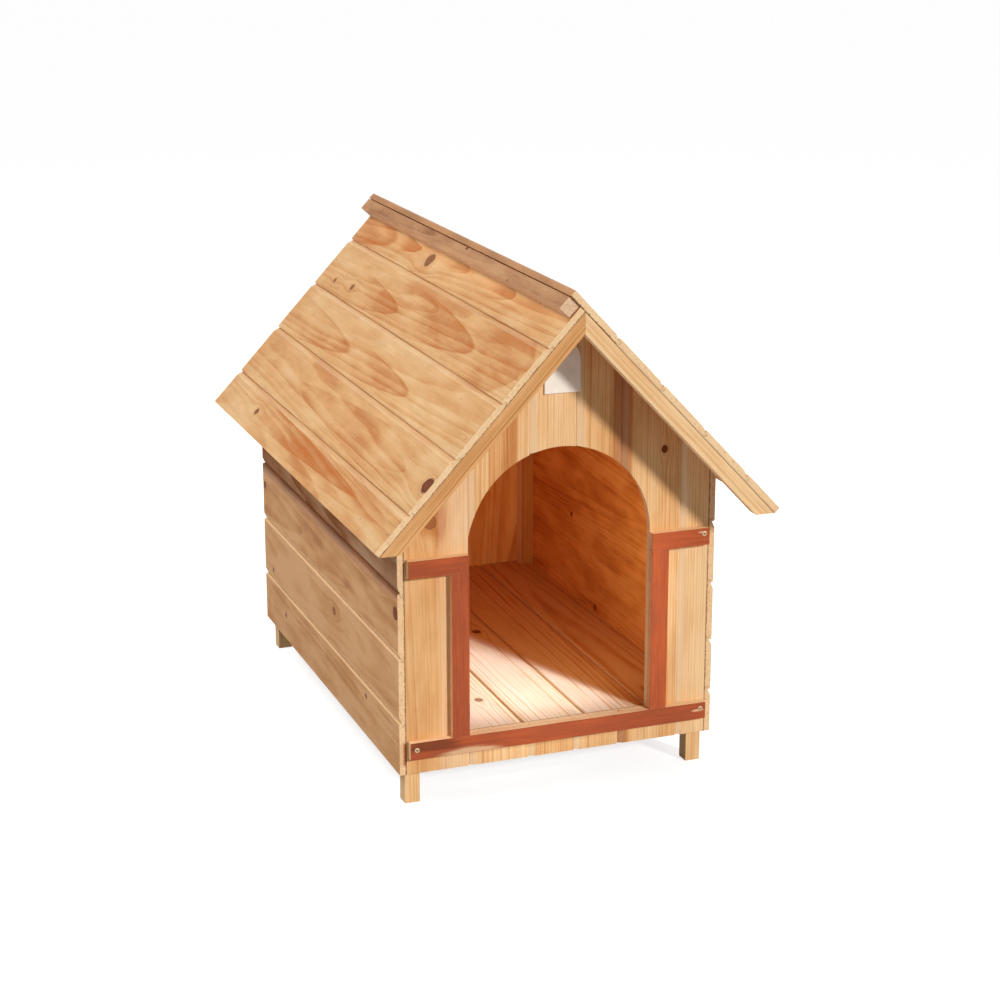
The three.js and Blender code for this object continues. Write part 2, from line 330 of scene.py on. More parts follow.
class Figure:
    """How one board was sawn from the tree, in the board's own frame. The growth rings centre on
    the heart (u, w) and are one ring apart, and clarity is how plain they are. Knots are (u, v,
    radius, darkness). Tongues of darker wood are (u, v of the tip, length, half width, strength),
    and a negative length points the tip the other way. Stripes are (u, half width, strength).
    Bands of another colour are (low u, high u, colour, strength). end_line is how dark the line along
    the back of the sawn ends is, and smears of stain on them are (u, half height)."""

    def __init__(self, heart, ring=7.0, taper=-0.02, seed=0.0, level=0.0, clarity=1.0, knots=(),
                 tongues=(), stripes=(), bands=(), end_line=0.8, smears=()):
        self.heart = heart
        self.ring = ring
        self.taper = taper
        self.seed = seed
        self.level = level
        self.clarity = clarity
        self.knots = knots
        self.tongues = tongues
        self.stripes = stripes
        self.bands = bands
        self.end_line = end_line
        self.smears = smears


# Painted indoor shade: tints that make the wood inside the cabin darker and more orange, standing in
# for its shade and the warm light bounced about in it.
PAINTED_INDOOR_SHADE = (1.08, 0.80, 0.40, 1)
PAINTED_POST_SHADE = (0.76, 0.48, 0.18, 1)
PAINTED_FLOOR_SHADE = (0.74, 0.40, 0.14, 1)
END_GRAIN = linear(246, 214, 170)
END_SPECK = linear(140, 88, 50)
END_LINE = linear(122, 68, 34)
END_STAIN = linear(150, 72, 36)
ROOF = Look(linear(244, 202, 148), linear(230, 174, 116), linear(208, 138, 80), linear(204, 116, 50),
            PAINTED_INDOOR_SHADE, contrast=0.28, level=0.26, mottle=0.18, roughness=0.5, joint_highlight=0.25,
            rounding=0.35 * MM)
SIDE = Look(linear(228, 176, 124), linear(212, 154, 98), linear(188, 126, 76), linear(176, 106, 60),
            PAINTED_INDOOR_SHADE, sawn=linear(248, 212, 166), contrast=0.34, mottle=0.28, joint_highlight=0.8)
GABLE = Look(linear(244, 204, 154), linear(228, 174, 116), linear(204, 140, 82), linear(190, 112, 60),
             PAINTED_INDOOR_SHADE, sawn=linear(252, 226, 186), contrast=0.4, pale_edge=0.95)
# The floor boards are painted pale, which is painted light where the lamps' pool falls past the
# doorway. Elsewhere the painted floor shade darkens them.
FLOOR = Look(linear(246, 230, 212), linear(242, 222, 194), linear(222, 178, 130),
             linear(200, 138, 86), PAINTED_FLOOR_SHADE, contrast=0.6, level=0.14)
STOCK = Look(linear(240, 196, 142), linear(226, 170, 112), linear(198, 132, 74), linear(182, 108, 56),
             PAINTED_POST_SHADE, contrast=0.42)
# The ridge batten's edges, its lower side among them, take most of the pale sawn colour: painted
# light on a side that faces away from the lamps.
RIDGE = Look(linear(206, 156, 112), linear(188, 136, 96), linear(158, 106, 72), linear(136, 88, 58),
             sawn=linear(250, 214, 178), contrast=0.35, mottle=0.3, pale_edge=0.85,
             rounding=0.15 * MM)
# Painted shade: the top board of the left wall, under the eave, is darker and has no sheen.
SHADED_UNDER_EAVE = Look(linear(216, 176, 140), linear(206, 160, 124), linear(170, 112, 72),
                  linear(140, 84, 50), PAINTED_INDOOR_SHADE, sawn=linear(248, 212, 166), contrast=0.34, sheen=0.0,
                  joint_highlight=0.0)
RIDGE_BROWN = linear(190, 137, 98)
# The next two are painted shade under the left eave, on the chamfer along the top of the wall board
# below the top one, darkest deep in the joint.
CHAMFER_SHADE = linear(202, 146, 104)
EAVE_SHADE = linear(150, 98, 62)
RED_HEART = linear(176, 104, 58)
PINK_SAP = linear(236, 194, 156)
KNOT = linear(138, 66, 30)
KNOT_RIM = linear(70, 34, 18)
JOINT_DIRT = linear(168, 98, 46)

# Blurs and depths, in millimetres.
STRIPE_BLUR = 2
BAND_BLUR = 3
SMEAR_BLUR = 3
DIRT_TOP = -3.1                   # the dirt in a V joint thickens from here
DIRT_BOTTOM = -3.8

# How far a seed moves a board's noise along u, v and w.
PINE_STRIDE = (37.0, 91.0, 53.0)
STAIN_STRIDE = (17.0, 71.0, 29.0)


def reseeded(graph, place, seed, stride):
    """The place moved off by a seed, so that each board has noise of its own."""
    return graph.vector("ADD", place, tuple(seed * step for step in stride))


def part_round_knots(graph, place, u, knots):
    """The grain lines part round each knot: u as it would be at this spot without them."""
    for middle_u, middle_v, radius, _ in knots:
        to_knot = graph.vector("SUBTRACT", place, (middle_u, middle_v, 0.0))
        reach = graph.vector("LENGTH", graph.vector("MULTIPLY", to_knot, (1.0, 0.45, 0.25)))
        pull = graph.smooth(reach, 0.7 * radius, 3.6 * radius, 0.92, 0.0)
        u = graph.less(u, graph.times(graph.less(u, middle_u), pull))
    return u


def growth_rings(graph, u, v, w, figure, drift, ripple):
    """0 in the pale early wood, rising to 1 in the late wood, where it ends sharply. The rings
    taper along the grain and wander a little."""
    heart_u, heart_w = figure.heart
    du = graph.less(u, heart_u)
    dw = graph.less(w, heart_w)
    radius = graph.math("SQRT", graph.add(graph.times(du, du), graph.times(dw, dw)))
    field = graph.add(radius, graph.times(v, figure.taper), graph.times(drift, 1.5 * figure.ring),
                      graph.times(ripple, 0.3 * figure.ring))
    rings = graph.math("DIVIDE", field, figure.ring)
    rings = graph.add(rings, graph.times(graph.noise_line(rings, 0.7, 1.0), 1.3))
    part = graph.math("FRACT", rings)
    rise = graph.smooth(part, 0.1, 0.86)
    fall = graph.smooth(part, 0.89, 1.0, 1.0, 0.0)
    year = graph.math("FLOOR", rings)
    strength = graph.node("TexWhiteNoise", {"W": year}, noise_dimensions="1D").outputs["Value"]
    return graph.times(rise, fall, graph.smooth(strength, 0.0, 1.0, 0.4, 1.0))


def tongue_tone(graph, u, v, drift, ripple, tongues):
    """Where flat sawing lays one growth ring open, darker wood ends in a parabola."""
    total = 0.0
    for middle, tip, length, half_width, strength in tongues:
        wavy_u = graph.add(u, graph.times(drift, 10.0), graph.times(ripple, 2.5))
        run = graph.math("DIVIDE", graph.less(graph.add(v, graph.times(drift, 60.0)), tip), length)
        out = graph.math("DIVIDE", graph.less(wavy_u, middle), half_width)
        depth = graph.less(graph.times(run, 2.5), graph.times(out, out))
        body = graph.smooth(depth, -0.08, 0.10)
        rim = graph.smooth(depth, 0.02, 0.35, 1.2, 0.78)
        fade = graph.smooth(run, 0.45, 1.15, 1.0, 0.0)
        total = graph.add(graph.times(body, rim, fade, strength), total)
    return total


def stripe_tone(graph, u, drift, stripes):
    """Darker or paler stripes along the grain."""
    total = 0.0
    for middle, half_width, strength in stripes:
        wavy_u = graph.add(u, graph.times(drift, 8.0))
        stripe = graph.near(wavy_u, middle, half_width, STRIPE_BLUR)
        total = graph.add(graph.times(stripe, strength), total)
    return total


def draw_knots(graph, color, place, ripple, look, knots):
    """Each knot has rings of its own, a dark rim and a halo."""
    for middle_u, middle_v, radius, darkness in knots:
        to_knot = graph.vector("SUBTRACT", place, (middle_u, middle_v, 0.0))
        reach = graph.vector("LENGTH", graph.vector("MULTIPLY", to_knot, (1.0, 0.85, 0.25)))
        reach = graph.add(graph.math("DIVIDE", reach, radius), graph.times(ripple, 0.7))
        swirl = graph.math("FRACT", graph.times(reach, 2.6))
        halo = graph.smooth(reach, 1.0, 2.2, 0.7, 0.0)
        color = graph.mix(graph.times(halo, graph.smooth(swirl, 0.2, 0.8)), color, look.dark)
        core = graph.mix(graph.times(swirl, 0.6), KNOT, KNOT_RIM)
        core = graph.mix(graph.smooth(reach, 0.7, 0.95), core, KNOT_RIM)
        color = graph.mix(graph.smooth(reach, 0.9, 1.1, darkness, 0.0), color, core)
    return color


def draw_end_grain(graph, color, plain, board, u, w, end, crumbs, look, figure):
    """Sawn ends are paler than the plain wood, with dark torn specks and a darker line along the
    back."""
    sawn = graph.mix(graph.smooth(crumbs, 0.3, 0.6, 0.85, 0.6), plain, look.sawn)
    sawn = graph.mix(graph.smooth(crumbs, 0.62, 0.72, 0.0, 0.5), sawn, END_SPECK)
    ragged_w = graph.add(w, graph.spread(crumbs, -0.8, 0.8))
    line = graph.smooth(ragged_w, 0.8 - board.thickness, 2.0 - board.thickness, figure.end_line, 0.0)
    sawn = graph.mix(line, sawn, END_LINE)
    for middle, half_height in figure.smears:
        ragged_u = graph.add(u, graph.times(crumbs, 4.0))
        blot = graph.near(ragged_u, middle, half_height, SMEAR_BLUR, 0.85)
        thin = graph.smooth(graph.add(w, graph.times(crumbs, 6.0)), -4.5, -1.0, 1.0, 0.2)
        sawn = graph.mix(graph.times(blot, thin), sawn, END_STAIN)
    return graph.mix(end, color, sawn)


def draw_joints(graph, color, board, w, drift, look):
    """The chamfers of a V joint are painted paler than the face, a painted highlight along the joint,
    and dirt lies at the bottom.
    """
    outward = board.facing(graph, board.outward)
    chamfer = graph.times(graph.smooth(outward, 0.5, 0.65),
                          graph.smooth(outward, 0.94, 0.98, 1.0, 0.0))
    color = graph.mix(graph.times(chamfer, look.joint_highlight), color, look.sawn)
    patchy = graph.smooth(drift, -0.2, 0.15, 0.35, 0.85)
    dirt = graph.times(chamfer, graph.smooth(w, DIRT_TOP, DIRT_BOTTOM), patchy)
    return graph.mix(dirt, color, JOINT_DIRT)


def draw_bands(graph, color, u, cloud, bands):
    """Bands of another colour along the grain, a little mottled: other wood colours, and painted
    shade on the wall under the left eave.
    """
    for low, high, other, strength in bands:
        within = graph.times(graph.smooth(u, low - BAND_BLUR, low + BAND_BLUR),
                             graph.smooth(u, high - BAND_BLUR, high + BAND_BLUR, 1.0, 0.0))
        mottled = graph.shade(other, graph.spread(cloud, 0.8, 1.15))
        color = graph.mix(graph.times(within, strength), color, mottled)
    return color


# Where a piece takes the painted indoor shade, from 0 to 1: the look's darker, more orange indoor
# tint.


def nowhere(graph, board, u, v, w):
    return 0.0


def everywhere(graph, board, u, v, w):
    return 1.0


def on_the_back(graph, board, u, v, w):
    return graph.smooth(w, 1.0 - board.thickness, 3.0 - board.thickness, 1.0, 0.0)


def over_the_cabin(graph, board, u, v, w):
    """The underside of the roof, but for the overhang past the walls."""
    x, y, _ = graph.split(graph.place())
    half_width = abs(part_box("left_wall_board_1")[1].x)
    half_depth = abs(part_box("front_board_1")[1].y)
    within_x = graph.smooth(graph.math("ABSOLUTE", x), half_width, half_width + MM, 1.0, 0.0)
    within_y = graph.smooth(graph.math("ABSOLUTE", y), half_depth, half_depth + MM, 1.0, 0.0)
    return graph.times(on_the_back(graph, board, u, v, w), within_x, within_y)


def above_the_leg(graph, board, u, v, w):
    return graph.smooth(v, LEG_HEIGHT - 1, LEG_HEIGHT + 3)


def beyond_the_painted_light(graph, board, u, v, w):
    """The floor is left pale, a painted pool of light, where the lamps' light falls in past the
    doorway:
    at the front, and further back on the left. Elsewhere it takes the painted indoor shade."""
    x = graph.add(u, board.origin.x / MM)
    return graph.smooth(graph.add(x, graph.times(v, 0.35)), -12, 18)


def pine(board, look, figure, indoor_shade_mask=on_the_back):
    """Bare pine: growth rings, fibre, knots, end grain, dirt in the V joints, painted highlights on
    their chamfers, and painted indoor shade.
    """
    graph = Graph(bpy.data.materials.new("pine_" + board.node))
    place = board.coordinates(graph)
    u, v, w = graph.split(place)
    shifted = reseeded(graph, place, figure.seed, PINE_STRIDE)
    drift = graph.less(graph.noise(shifted, 55, 340, 1.5), 0.5)
    ripple = graph.less(graph.noise(shifted, 13, 130), 0.5)
    fibre = graph.noise(shifted, 0.9, 75, 3.0, 0.6)
    hair = graph.noise(shifted, 2.2, 190)
    cloud = graph.noise(shifted, 32, 110, 3.0, 0.55)

    grain_u = part_round_knots(graph, place, u, figure.knots)
    rings = growth_rings(graph, grain_u, v, w, figure, drift, ripple)
    tone = graph.add(
        look.level + figure.level,
        graph.times(rings, look.contrast * figure.clarity),
        graph.spread(cloud, -look.mottle, look.mottle),
        tongue_tone(graph, grain_u, v, drift, ripple, figure.tongues),
        stripe_tone(graph, grain_u, drift, figure.stripes),
        graph.smooth(hair, 0.60, 0.70, 0.0, 0.16),
    )
    streaks = graph.spread(fibre, 1.0 - look.streak, 1.0 + look.streak / 2)
    plain = graph.shade(graph.ramp(tone, look.stops), streaks)
    color = draw_knots(graph, plain, place, ripple, look, figure.knots)
    color = draw_joints(graph, color, board, w, drift, look)
    # Painted indoor shade.
    color = graph.mix(indoor_shade_mask(graph, board, u, v, w), color, look.inside, "MULTIPLY")
    # Edges take the pale sawn colour. On the ridge batten this is painted light on its lower side.
    sawn_edge = graph.smooth(graph.math("ABSOLUTE", board.facing(graph, board.across)), 0.85, 0.95)
    color = graph.mix(graph.times(sawn_edge, look.pale_edge), color, look.sawn)
    color = draw_bands(graph, color, u, cloud, figure.bands)
    end = board.sawn_ends(graph)
    crumbs = graph.noise(shifted, 3.4, detail=3.0, roughness=0.6)
    color = draw_end_grain(graph, color, plain, board, u, w, end, crumbs, look, figure)

    height = graph.add(graph.times(rings, 0.25), graph.times(fibre, 0.5),
                       graph.times(crumbs, end, 1.8))
    roughness = graph.add(graph.times(end, 0.2),
                          graph.spread(fibre, look.roughness - 0.06, look.roughness + 0.08))
    sheen = graph.smooth(w, -3.0, -1.5, 0.0, look.sheen)
    dress(board.object, graph.finish(color, roughness, height, 0.35 * MM, sheen), look.rounding)


def dress(piece, material, rounding):
    """Gives a piece its material and its softened edges."""
    piece.data.materials.clear()
    piece.data.materials.append(material)
    soften(piece, rounding)


def soften(piece, rounding, segments=2, angle=math.radians(25)):
    """Rounds the edges whose faces meet at more than the angle."""
    bevel = piece.modifiers.new("softened_edges", "BEVEL")
    bevel.width = rounding
    bevel.segments = segments
    bevel.limit_method = "ANGLE"
    bevel.angle_limit = angle


def chance(node):
    """Random numbers that are the same on every run for a node."""
    return random.Random(node)


def dress_boards(stem, along, outward, look, chosen, indoor_shade_mask=on_the_back):
    """Every board of a panel. chosen gives some boards a figure or a look of their own."""
    names = sorted(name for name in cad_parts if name.startswith(stem))
    for name in names:
        draw = chance(name)
        settings = {
            "heart": (draw.uniform(-25, 25), -draw.uniform(45, 80)),
            "ring": draw.uniform(5.5, 8.5),
            "taper": draw.choice((-1, 1)) * draw.uniform(0.015, 0.03),
            "seed": draw.uniform(0, 9),
            "level": draw.uniform(-0.06, 0.06),
        }
        settings.update(chosen.get(name, {}))
        own_look = settings.pop("look", look)
        pine(Board(name, along, outward), own_look, Figure(**settings), indoor_shade_mask)


# ---------------------------------------------------------------- walls, roof and floor

ROOF_LEFT = {
    "roof_left_board_1": {
        "heart": (26, -70), "ring": 6.0, "taper": -0.02, "seed": 1.3, "level": -0.02,
        "knots": [(-5, 96, 11, 0.8)],
        "tongues": [(2, 150, 90, 9, 0.6), (6, -255, 90, 12, 0.4), (8, -60, 110, 12, 0.3),
                    (0, 275, 420, 40, 0.34)],
    },
    "roof_left_board_2": {
        "heart": (40, -90), "ring": 7.0, "taper": -0.02, "seed": 2.1, "level": 0.0,
        "knots": [(-29, 370, 4, 0.8), (-24, 285, 6, 0.8)],
        "tongues": [(-20, 57, 190, 18, 0.35), (12, -69, 120, 12, 0.25), (-9, -261, 260, 24, 0.42),
                    (4, -440, 200, 60, 0.3)],
    },
    "roof_left_board_3": {
        "heart": (30, -80), "ring": 6.5, "taper": -0.022, "seed": 3.4, "level": -0.1,
        "tongues": [(-16, 110, 330, 24, 0.34), (-19, -190, 260, 18, 0.4)],
    },
    "roof_left_board_4": {
        "heart": (34, -90), "ring": 7.0, "taper": 0.02, "seed": 4.7, "level": -0.04,
        "knots": [(-5, -431, 12, 1.0)],
        "tongues": [(-7, 179, -520, 27, 0.2), (-10, -350, 90, 12, 0.2)],
    },
    "roof_left_board_5": {
        "heart": (-30, -70), "ring": 5.5, "taper": -0.022, "seed": 5.2, "level": -0.05,
        "knots": [(-2, 253, 6, 0.9)],
        "tongues": [(4, -265, 520, 13, 0.44), (2, -405, 640, 24, 0.2)],
    },
}
ROOF_RIGHT = {f"roof_right_board_{number}": {"end_line": 0.25} for number in range(2, 6)}
ROOF_RIGHT["roof_right_board_1"] = {
    "heart": (20, -60), "ring": 6.0, "seed": 6.6, "bands": [(-100, -30, RIDGE_BROWN, 0.9)],
}
LEFT_WALL = {
    "left_wall_board_1": {
        "heart": (-30, -80), "ring": 7.0, "taper": -0.02, "seed": 2.6, "level": -0.1,
        "knots": [(3, 239, 4, 0.8), (23, -199, 4, 0.8)], "smears": [(-6, 17)],
    },
    "left_wall_board_2": {
        "heart": (10, -60), "ring": 7.5, "taper": -0.02, "seed": 7.1, "level": -0.28,
        "knots": [(-26, 311, 4, 0.8), (19, -43, 6, 0.75)],
        "tongues": [(17, -95, 240, 20, 0.25)],
    },
    "left_wall_board_3": {
        "heart": (-6, -70), "ring": 8.0, "taper": -0.02, "seed": 3.7, "level": -0.03,
        "knots": [(19, -345, 9, 1.0), (15, 349, 6, 0.9)],
        "tongues": [(-10, -130, 330, 22, 0.22)],
        # Painted shade under the eave on this board's top chamfer.
        "bands": [(36, 100, CHAMFER_SHADE, 0.9), (44, 100, EAVE_SHADE, 0.9)],
    },
    "left_wall_board_4": {
        # Painted shade: the board under the eave is painted darker.
        "look": SHADED_UNDER_EAVE, "heart": (-20, -50), "ring": 6.0, "seed": 5.9,
        "tongues": [(0, -200, 1100, 90, 0.3)],
    },
}
RIGHT_WALL = {
    "right_wall_board_1": {"heart": (-70, -60), "ring": 5.0, "seed": 1.9,
                           "knots": [(-23, 54, 6, 0.8)]},
    "right_wall_board_2": {"heart": (80, -60), "ring": 4.5, "seed": 4.1},
    "right_wall_board_3": {"heart": (-60, -70), "ring": 5.0, "seed": 8.3,
                           "knots": [(0, 157, 5, 0.9)]},
    "right_wall_board_4": {"heart": (20, -70), "ring": 6.0, "seed": 6.2},
}
FRONT_WALL = {
    "front_board_1": {
        "heart": (-60, -70), "ring": 4.0, "taper": 0.006, "seed": 4.4, "clarity": 0.6,
        "knots": [(-9, 412, 9, 0.5)], "stripes": [(-20, 26, 0.2), (36, 14, -0.14)],
        "bands": [(3, 100, PINK_SAP, 0.28)],
        "tongues": [(0, 385, 400, 70, 0.1), (-4, 384, 330, 30, 0.24), (-6, 396, 300, 16, 0.26)],
    },
    "front_board_2_upper": {
        "heart": (-90, -40), "ring": 6.0, "taper": 0.004, "seed": 1.2,
        "stripes": [(-6, 6, 0.3), (16, 12, 0.42)],
    },
    "front_board_2_stub": {"heart": (-90, -40), "ring": 6.0, "taper": 0.004, "seed": 1.2},
    "front_board_3_upper": {
        "heart": (150, -30), "ring": 3.2, "taper": 0.003, "seed": 2.2, "level": -0.2,
    },
    "front_board_3_stub": {"heart": (150, -30), "ring": 3.2, "taper": 0.003, "seed": 2.2},
    "front_board_4_upper": {
        "heart": (-140, -30), "ring": 3.6, "taper": 0.003, "seed": 3.9, "level": -0.04,
        "stripes": [(22, 5, 0.2)], "bands": [(23, 100, RED_HEART, 0.7)],
    },
    "front_board_4_stub": {"heart": (-140, -30), "ring": 3.6, "taper": 0.003, "seed": 3.9},
    "front_board_5": {
        "heart": (-110, -40), "ring": 4.6, "taper": 0.004, "seed": 5.8,
        "knots": [(22, 482, 4.5, 1.0)], "bands": [(-100, -28, RED_HEART, 0.7)],
    },
    "front_board_6": {
        "heart": (-120, -40), "ring": 4.2, "taper": 0.003, "seed": 7.7, "level": -0.2,
    },
}
FLOOR_GRAIN = {
    "floor_board_1": {"heart": (60, -60), "ring": 5.0, "seed": 2.9},
    "floor_board_2": {"heart": (80, -50), "ring": 5.0, "taper": 0.005, "seed": 6.1,
                      "knots": [(15, -243, 6, 0.75)]},
    "floor_board_3": {"heart": (-90, -50), "ring": 4.8, "taper": 0.005, "seed": 5.5,
                      "knots": [(16, 33, 7, 0.9)]},
    "floor_board_4": {"heart": (60, -70), "ring": 5.5, "taper": 0.01, "seed": 1.1},
}
dress_boards("roof_left_board", Y, LEFT_SLOPE, ROOF, ROOF_LEFT, over_the_cabin)
dress_boards("roof_right_board", Y, RIGHT_SLOPE, ROOF, ROOF_RIGHT, over_the_cabin)
dress_boards("left_wall_board", Y, -X, SIDE, LEFT_WALL)
dress_boards("right_wall_board", Y, X, SIDE, RIGHT_WALL)
dress_boards("front_board", Z, -Y, GABLE, FRONT_WALL)
dress_boards("rear_board", Z, Y, GABLE, {})
dress_boards("floor_board", Y, Z, FLOOR, FLOOR_GRAIN, beyond_the_painted_light)

# ---------------------------------------------------------------- square stock


def dress_stock(node, along, outward, look=STOCK, indoor_shade_mask=nowhere, level=0.0, knots=()):
    """A post or a batten, with narrower rings than the boards have."""
    draw = chance(node)
    figure = Figure(
        heart=(draw.uniform(-50, 50), -draw.uniform(20, 50)),
        ring=draw.uniform(2.2, 3.4),
        taper=draw.uniform(-0.01, 0.01),
        seed=draw.uniform(0, 9),
        level=level,
        knots=knots,
    )
    pine(Board(node, along, outward), look, figure, indoor_shade_mask)


for place in ("front", "rear"):
    for side in ("left", "right"):
        dress_stock(f"post_{place}_{side}", Z, -Y, indoor_shade_mask=above_the_leg, level=-0.22)
        slope = LEFT_SLOPE if side == "left" else RIGHT_SLOPE
        dress_stock(f"gable_batten_{place}_{side}", slope.cross(Y), -Y, indoor_shade_mask=everywhere)
dress_stock("barge_front_left", LEFT_SLOPE.cross(Y), -Y, level=0.12)
dress_stock("barge_front_right", RIGHT_SLOPE.cross(Y), -Y, GABLE, level=-0.2)
dress_stock("barge_rear_left", LEFT_SLOPE.cross(Y), Y)
dress_stock("barge_rear_right", RIGHT_SLOPE.cross(Y), Y)
for place in ("front", "middle", "rear"):
    dress_stock(f"floor_bearer_{place}", X, Z)
dress_stock("ridge_batten", Y, LEFT_SLOPE, RIDGE, knots=[(8, -45, 2.5, 1.0), (-8, -240, 1.5, 0.8)])

# ---------------------------------------------------------------- stained trim

STAIN_DARK = linear(152, 74, 48)
STAIN = linear(172, 84, 50)
STAIN_PALE = linear(204, 98, 54)
STAIN_DIRT = linear(112, 58, 36)
TRIM_BARE = linear(240, 176, 132)
PALE_WEAR_AND_LIGHT = linear(244, 208, 160)


def draw_patches(graph, color, u, v, streak, patches):
    """Split, rubbed or dirty places: u, v, half length, colour and strength. Each is five times
    as long as it is wide, and ragged."""
    for patch_u, patch_v, reach, patch_color, strength in patches:
        off_u = graph.times(graph.less(u, patch_u), 5.0)
        off_v = graph.less(v, patch_v)
        off = graph.math("SQRT", graph.add(graph.times(off_u, off_u), graph.times(off_v, off_v)))
        off = graph.add(graph.math("DIVIDE", off, reach), graph.less(streak, 0.5))
        color = graph.mix(graph.smooth(off, 0.5, 1.0, strength, 0.0), color, patch_color)
    return color


def stained(node, along, paleness, patches=()):
    """Red-brown stain on the front face only. Its ends and the faces that look up are painted pale:
    the upper faces are partly wood worn bare and partly painted light, and the ends are painted
    light. The last argument, from 0 to 1, makes the stain paler."""
    board = Board(node, along, -Y)
    graph = Graph(bpy.data.materials.new("stain_" + node))
    place = board.coordinates(graph)
    u, v, w = graph.split(place)
    shifted = reseeded(graph, place, chance(node).uniform(0, 9), STAIN_STRIDE)
    fibre = graph.noise(shifted, 0.9, 40, 3.0, 0.6)
    streak = graph.noise(shifted, 4.0, 90, 2.0)
    cloud = graph.noise(shifted, 14, 60, 3.0, 0.6)
    tone = graph.add(graph.spread(cloud, -0.12, 0.12), graph.spread(streak, -0.16, 0.16),
                     0.25 + 0.5 * paleness)
    color = graph.ramp(tone, [(0.0, STAIN_DARK), (0.5, STAIN), (1.0, STAIN_PALE)])
    color = graph.shade(color, graph.spread(fibre, 0.9, 1.06))
    scuff = graph.smooth(graph.noise(shifted, 2.6, detail=4.0, roughness=0.7), 0.68, 0.76, 0.0, 0.4)
    color = graph.mix(scuff, color, PALE_WEAR_AND_LIGHT)
    color = draw_patches(graph, color, u, v, streak, patches)
    bare = graph.mix(graph.smooth(fibre, 0.35, 0.7), TRIM_BARE, PALE_WEAR_AND_LIGHT)
    # Painted light: the trim's ends are painted pale.
    bare = graph.mix(board.sawn_ends(graph), bare, PALE_WEAR_AND_LIGHT)
    off_face = graph.smooth(w, -1.6, -0.6, 1.0, 0.0)
    color = graph.mix(off_face, color, bare)
    # Faces that look up are painted pale: partly wood worn bare, partly painted light on top.
    above = graph.smooth(board.facing(graph, Z), 0.25, 0.6)
    patchy = graph.smooth(cloud, 0.35, 0.6, 0.45, 1.0)
    color = graph.mix(graph.times(above, patchy), color, PALE_WEAR_AND_LIGHT)
    height = graph.add(graph.times(fibre, 0.6), graph.times(scuff, -0.6))
    roughness = graph.spread(cloud, 0.5, 0.66)
    dress(board.object, graph.finish(color, roughness, height, 0.3 * MM), TRIM_ROUNDING)


stained("trim_sill", X, 0.4, patches=[
    (-1, 213, 11, PALE_WEAR_AND_LIGHT, 0.65), (15, -135, 60, PALE_WEAR_AND_LIGHT, 0.6), (-6, -195, 55, STAIN_DIRT, 0.75),
])
stained("trim_left_rail", X, 0.45)
stained("trim_right_rail", X, 0.8, patches=[(-7, 214, 7, PALE_WEAR_AND_LIGHT, 0.65)])
stained("trim_left_stile", Z, 0.35)
stained("trim_right_stile", Z, 0.8)

# ---------------------------------------------------------------- bare plate over the doorway


def new_piece(name, mesh_builder):
    """A piece that the CAD doesn't have, fixed to the part's one body."""
    mesh = bpy.data.meshes.new(name)
    sculpt = bmesh.new()
    mesh_builder(sculpt)
    bmesh.ops.recalc_face_normals(sculpt, faces=sculpt.faces)
    sculpt.to_mesh(mesh)
    sculpt.free()
    piece = bpy.data.objects.new(name, mesh)
    bpy.context.scene.collection.objects.link(piece)
    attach(piece, "root")
    return piece


def plate_outline():
    """The right half of the plate's outline, from its lower corner to the middle of its top."""
    half = PLATE_WIDTH / 2
    rise = PLATE_TOP - PLATE_EAVES
    sweep = [i / PLATE_STEPS * math.pi / 2 for i in range(PLATE_STEPS + 1)]
    roof = [(half * math.cos(a) ** PLATE_SHOULDER, PLATE_EAVES + rise * math.sin(a)) for a in sweep]
    return [(half, PLATE_BOTTOM)] + roof


def build_plate(sculpt):
    front_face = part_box("front_board_1")[0].y
    right = plate_outline()
    left = [(-x, z) for x, z in reversed(right[:-1])]
    back = [sculpt.verts.new((PLATE_CENTRE_X + x, front_face, z)) for x, z in right + left]
    face = sculpt.faces.new(back)
    front = bmesh.ops.extrude_face_region(sculpt, geom=[face])["geom"]
    moved = [item for item in front if isinstance(item, bmesh.types.BMVert)]
    bmesh.ops.translate(sculpt, verts=moved, vec=(0, -PLATE_THICKNESS, 0))


def plate_material():
    graph = Graph(bpy.data.materials.new("pale_plate"))
    place = graph.place()
    cloud = graph.noise(place, 17 * MM, detail=4.0, roughness=0.6)
    fine = graph.noise(place, 1.1 * MM, detail=3.0, roughness=0.6)
    color = graph.ramp(cloud, [(0.3, linear(242, 231, 213)), (0.7, linear(252, 245, 234))])
    height = graph.add(fine, graph.times(cloud, 2.0))
    return graph.finish(color, graph.spread(fine, 0.4, 0.55), height, 0.08 * MM)


plate = new_piece("gable_plate", build_plate)
plate.data.materials.append(plate_material())
soften(plate, PLATE_ROUNDING, segments=3, angle=math.radians(40))

# ---------------------------------------------------------------- screws and nails

# Rings of a head from the outside in: radius as a share of the head's, height over the face in
# millimetres, and how deep its four lobes are, which make the cross recess.
SCREW_RINGS = [(0.5, -1.6, 0), (1.0, 0.1, 0), (0.94, 0.5, 0), (0.7, 0.75, 0), (0.46, 0.8, 0.35),
               (0.40, 0.2, 0.35), (0.2, -0.3, 0.35)]
NAIL_RINGS = [(1.0, -0.8, 0), (1.0, 0.02, 0), (0.75, 0.2, 0), (0.3, 0.28, 0)]

# Screws in the trim's face: x and z, in millimetres.
SCREWS = [(-216, 87), (217, 89), (217, 355)]

